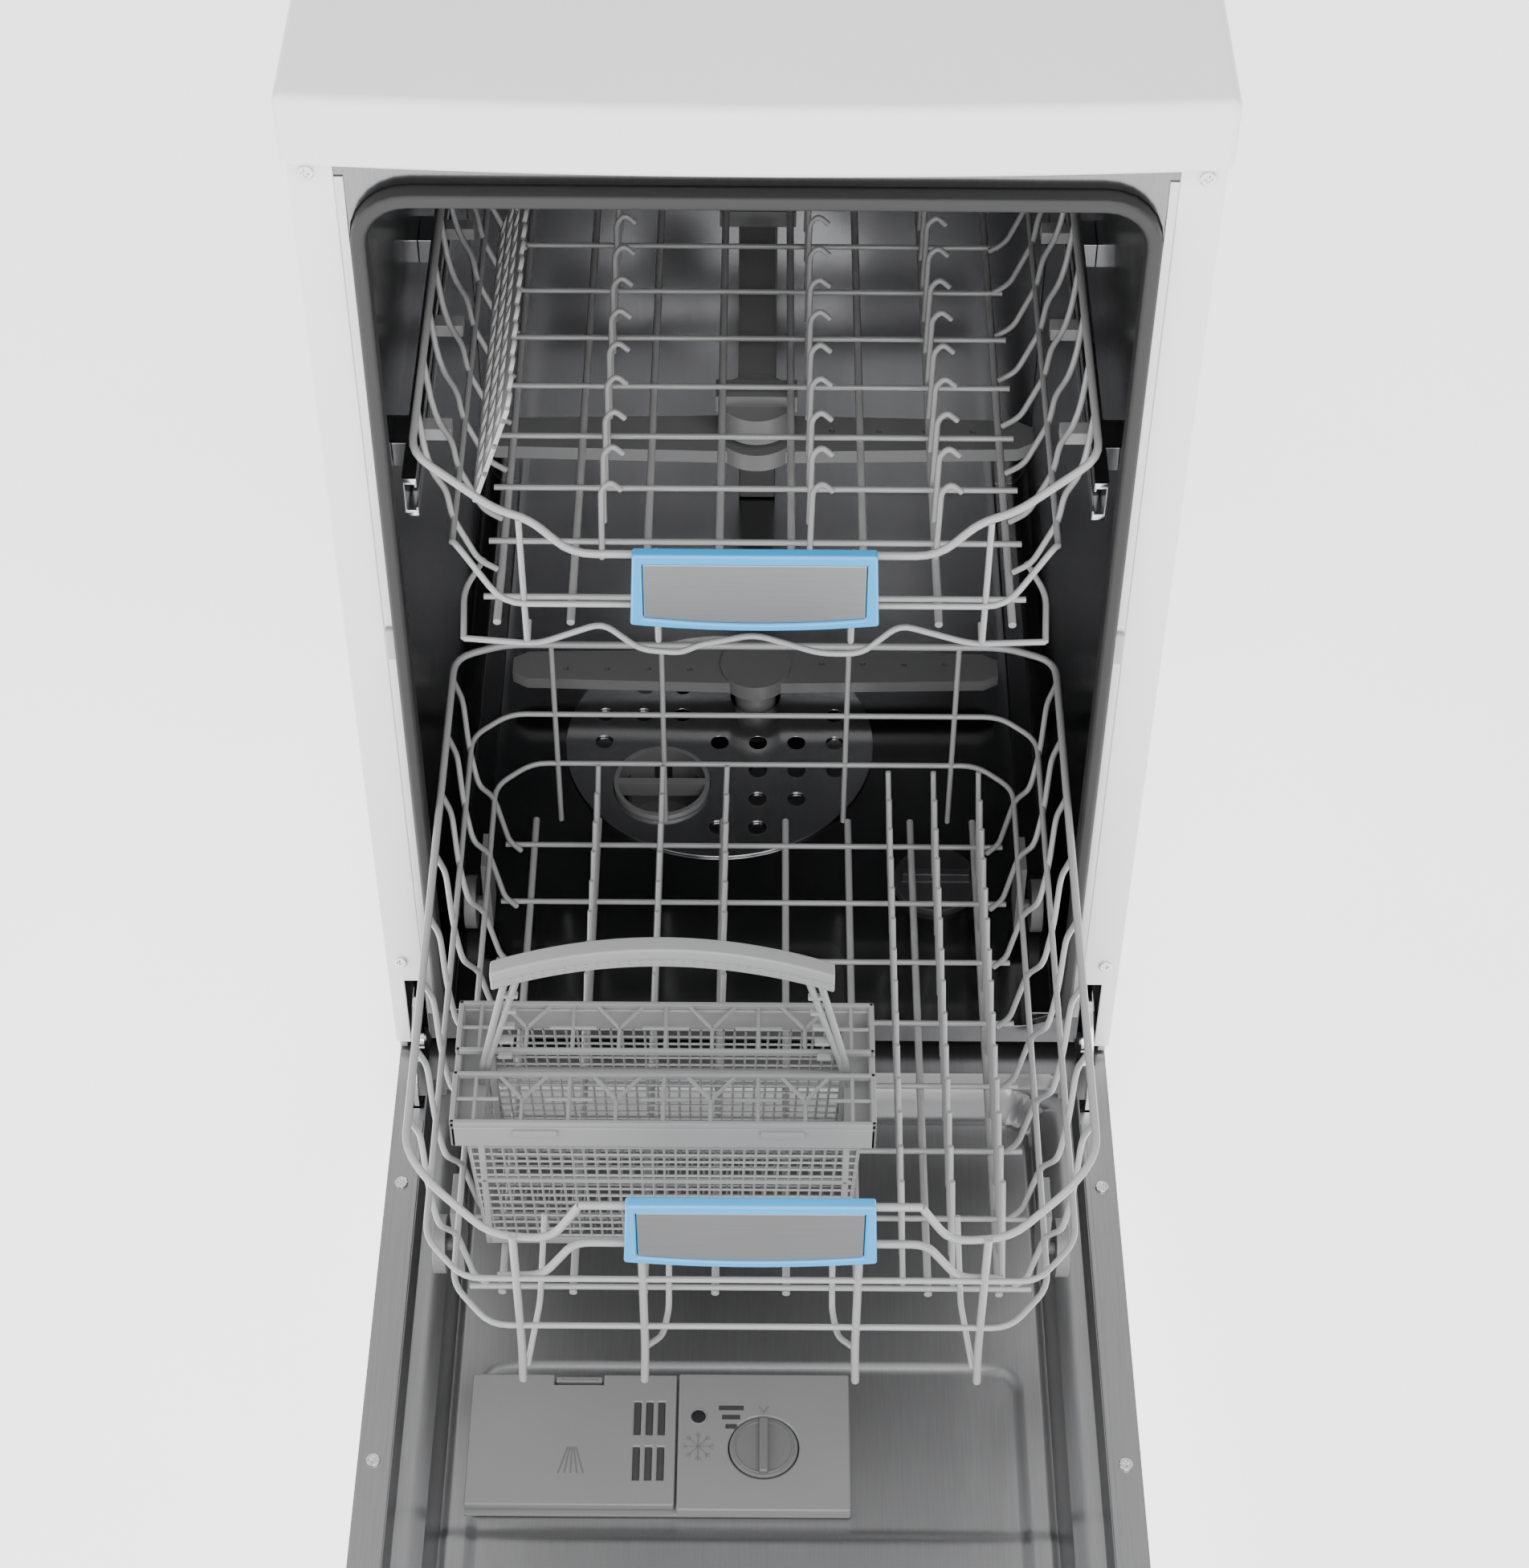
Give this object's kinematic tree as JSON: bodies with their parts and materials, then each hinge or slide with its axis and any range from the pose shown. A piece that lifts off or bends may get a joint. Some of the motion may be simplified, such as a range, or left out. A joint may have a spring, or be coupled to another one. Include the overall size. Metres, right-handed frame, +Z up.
{
  "type": "dishwasher",
  "caption": "Slim free-standing dishwasher with a fold-down door, two wire racks on runners, a cutlery basket and a detergent dispenser.",
  "frame": {"origin": "on the floor, under the middle of the whole machine with its door open", "axes": "+X to the right seen from the front, +Y to the rear, +Z up"},
  "size_m": [0.45, 1.216, 0.845],
  "materials": {
    "white_enamel": "satin enamel",
    "worktop_white": "fine satin",
    "tub_steel": "mirror-like, dark inside",
    "liner_steel": "fine brushed",
    "bright_steel": "bright",
    "black_rubber": "matt",
    "grey_plastic": "fine grain",
    "pale_plastic": "fine grain",
    "dark_plastic": "matt",
    "coated_wire": "nylon coated",
    "blue_plastic": "glossy",
    "plate_steel": "brushed along its length",
    "window_black": "gloss",
    "concrete_grey": "cast"
  },
  "bodies": {
    "cabinet": {"base_tray": "dark_plastic", "kick_plate": "white_enamel", "side_panel_left": "white_enamel", "side_panel_right": "white_enamel", "back_panel": "liner_steel", "worktop": "worktop_white", "tub": "tub_steel", "door_seal": "black_rubber", "sump": "dark_plastic", "filter_plate": "bright_steel", "softener": "pale_plastic", "circulation_pump": "dark_plastic", "drain_pump": "dark_plastic", "inlet_valve": "pale_plastic", "counterweight": "concrete_grey", "hinge_brackets": "bright_steel", "upper_rails": "bright_steel", "feed_pipe": "grey_plastic", "frame_screws": "bright_steel"},
    "foot_front_left": {"foot_front_left": "dark_plastic"},
    "foot_front_right": {"foot_front_right": "dark_plastic"},
    "foot_rear_left": {"foot_rear_left": "dark_plastic"},
    "foot_rear_right": {"foot_rear_right": "dark_plastic"},
    "filter_cylinder": {"filter_cylinder": "grey_plastic"},
    "salt_cap": {"salt_cap": "dark_plastic"},
    "lower_spray_arm": {"lower_spray_arm": "grey_plastic"},
    "door": {"door_inner": "liner_steel", "door_outer": "white_enamel", "control_panel": "white_enamel", "display_window": "window_black", "door_latch": "dark_plastic", "door_screws": "bright_steel", "hinge_arms": "bright_steel", "dispenser_body": "grey_plastic"},
    "dispenser_lid": {"dispenser_lid": "grey_plastic"},
    "dispenser_latch": {"dispenser_latch": "grey_plastic"},
    "rinse_cap": {"rinse_cap": "grey_plastic"},
    "power_button": {"power_button": "grey_plastic"},
    "program_button": {"program_button": "grey_plastic"},
    "delay_button": {"delay_button": "grey_plastic"},
    "start_button": {"start_button": "grey_plastic"},
    "lower_rack": {"lower_rack_floor": "coated_wire", "lower_rack_walls": "coated_wire", "lower_rack_tines": "coated_wire", "lower_handle_frame": "blue_plastic", "lower_handle_plate": "plate_steel", "wheel_brackets": "grey_plastic", "cutlery_basket": "pale_plastic", "basket_handle": "pale_plastic"},
    "lower_wheels_front": {"lower_wheels_front": "grey_plastic"},
    "lower_wheels_rear": {"lower_wheels_rear": "grey_plastic"},
    "basket_lid_front": {"basket_lid_front": "pale_plastic"},
    "basket_lid_rear": {"basket_lid_rear": "pale_plastic"},
    "upper_rack": {"upper_rack_floor": "coated_wire", "upper_rack_walls": "coated_wire", "upper_handle_frame": "blue_plastic", "upper_handle_plate": "plate_steel", "upper_arm_mount": "grey_plastic"},
    "upper_spray_arm": {"upper_spray_arm": "grey_plastic"},
    "cup_shelf": {"cup_shelf": "pale_plastic"}
  },
  "joints": [
    {"name": "door_hinge", "type": "hinge", "parent": "cabinet", "child": "door", "pos_m": [0, 0.061, 0.131], "axis": [-1, 0, 0], "range_deg": [0, 90]},
    {"name": "lower_rack_slide", "type": "slide", "parent": "cabinet", "child": "lower_rack", "axis": [0, 1, 0], "range_m": [0, 0.355]},
    {"name": "upper_rack_slide", "type": "slide", "parent": "cabinet", "child": "upper_rack", "axis": [0, 1, 0], "range_m": [-0.3, 0]},
    {"name": "lower_wheels_front_roll", "type": "hinge", "parent": "lower_rack", "child": "lower_wheels_front", "pos_m": [0, -0.127, 0.1749], "axis": [-1, 0, 0], "range_deg": [0, 1200]},
    {"name": "lower_wheels_rear_roll", "type": "hinge", "parent": "lower_rack", "child": "lower_wheels_rear", "pos_m": [0, 0.136, 0.1749], "axis": [-1, 0, 0], "range_deg": [0, 1200]},
    {"name": "dispenser_lid_hinge", "type": "hinge", "parent": "door", "child": "dispenser_lid", "pos_m": [-0.0525, -0.251, 0.0935], "axis": [-1, 0, 0], "range_deg": [-95, 0]},
    {"name": "dispenser_latch_slide", "type": "slide", "parent": "door", "child": "dispenser_latch", "axis": [0, 1, 0], "range_m": [0, 0.0015], "stiffness_N_per_m": 150},
    {"name": "rinse_cap_turn", "type": "hinge", "parent": "door", "child": "rinse_cap", "pos_m": [0.008, -0.2125, 0.087], "axis": [0, 0, 1], "range_deg": [0, 90]},
    {"name": "power_button_press", "type": "slide", "parent": "door", "child": "power_button", "axis": [0, 0, 1], "range_m": [0, 0.002], "stiffness_N_per_m": 300},
    {"name": "program_button_press", "type": "slide", "parent": "door", "child": "program_button", "axis": [0, 0, 1], "range_m": [0, 0.002], "stiffness_N_per_m": 300},
    {"name": "delay_button_press", "type": "slide", "parent": "door", "child": "delay_button", "axis": [0, 0, 1], "range_m": [0, 0.002], "stiffness_N_per_m": 300},
    {"name": "start_button_press", "type": "slide", "parent": "door", "child": "start_button", "axis": [0, 0, 1], "range_m": [0, 0.002], "stiffness_N_per_m": 300},
    {"name": "basket_lid_front_hinge", "type": "hinge", "parent": "lower_rack", "child": "basket_lid_front", "pos_m": [-0.048, -0.148, 0.3136], "axis": [1, 0, 0], "range_deg": [0, 110]},
    {"name": "basket_lid_rear_hinge", "type": "hinge", "parent": "lower_rack", "child": "basket_lid_rear", "pos_m": [-0.048, -0.062, 0.3136], "axis": [-1, 0, 0], "range_deg": [0, 110]},
    {"name": "cup_shelf_fold", "type": "hinge", "parent": "upper_rack", "child": "cup_shelf", "pos_m": [-0.15, 0.076, 0.565], "axis": [0, 1, 0], "range_deg": [0, 70]},
    {"name": "upper_spray_arm_spin", "type": "hinge", "parent": "upper_rack", "child": "upper_spray_arm", "pos_m": [0, 0.256, 0.455], "axis": [0, 0, 1], "continuous": true},
    {"name": "lower_spray_arm_spin", "type": "hinge", "parent": "cabinet", "child": "lower_spray_arm", "pos_m": [0, 0.346, 0.175], "axis": [0, 0, 1], "continuous": true},
    {"name": "filter_cylinder_turn", "type": "hinge", "parent": "cabinet", "child": "filter_cylinder", "pos_m": [-0.062, 0.261, 0.15], "axis": [0, 0, 1], "range_deg": [0, 45]},
    {"name": "salt_cap_turn", "type": "hinge", "parent": "cabinet", "child": "salt_cap", "pos_m": [0.118, 0.176, 0.15], "axis": [0, 0, 1], "range_deg": [0, 360]},
    {"name": "foot_front_left_turn", "type": "hinge", "parent": "cabinet", "child": "foot_front_left", "pos_m": [-0.19, 0.141, 0], "axis": [0, 0, 1], "continuous": true},
    {"name": "foot_rear_left_turn", "type": "hinge", "parent": "cabinet", "child": "foot_rear_left", "pos_m": [-0.19, 0.556, 0], "axis": [0, 0, 1], "continuous": true},
    {"name": "foot_front_right_turn", "type": "hinge", "parent": "cabinet", "child": "foot_front_right", "pos_m": [0.19, 0.141, 0], "axis": [0, 0, 1], "continuous": true},
    {"name": "foot_rear_right_turn", "type": "hinge", "parent": "cabinet", "child": "foot_rear_right", "pos_m": [0.19, 0.556, 0], "axis": [0, 0, 1], "continuous": true}
  ],
  "couplings": [
    {"joint": "lower_rack_slide", "follows": "door_hinge", "m_per_rad": 0.2259},
    {"joint": "lower_wheels_front_roll", "follows": "door_hinge", "ratio": 13.288},
    {"joint": "lower_wheels_rear_roll", "follows": "door_hinge", "ratio": 13.288}
  ]
}
